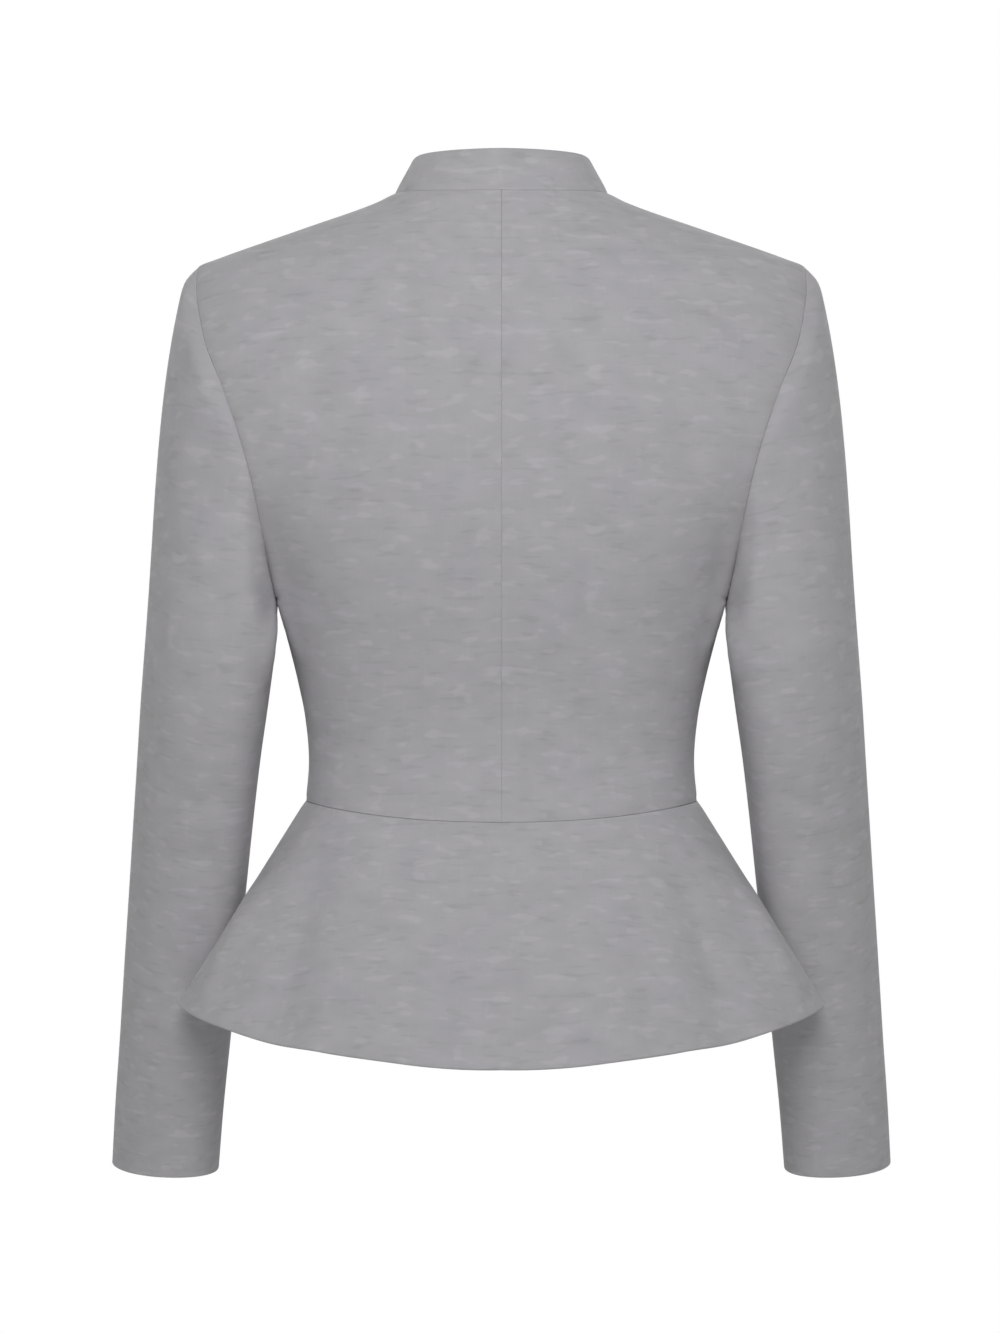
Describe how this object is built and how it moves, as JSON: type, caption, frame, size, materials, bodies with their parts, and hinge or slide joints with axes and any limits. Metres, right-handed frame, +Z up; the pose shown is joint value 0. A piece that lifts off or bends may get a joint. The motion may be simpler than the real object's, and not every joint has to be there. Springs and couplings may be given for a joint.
{
  "type": "open-front blazer",
  "caption": "Open-front blazer with a stand collar, long set-in sleeves and a flared peplum, filled out and hollow as if worn.",
  "frame": {"origin": "between the shoulders, at the height of the side neck points, where the wearer's shoulders carry the garment", "axes": "+Z up, -Y towards the garment's open front, +X towards the wearer's left"},
  "size_m": [0.5246, 0.3126, 0.668],
  "materials": {
    "suiting": "matte light grey suiting with fine uneven slubs along the weft"
  },
  "bodies": {
    "root": {"back_left": "suiting", "back_right": "suiting", "front_left": "suiting", "front_right": "suiting", "collar": "suiting", "sleeve_left": "suiting", "sleeve_right": "suiting", "peplum_back": "suiting", "peplum_front_left": "suiting", "peplum_front_right": "suiting"}
  },
  "joints": []
}
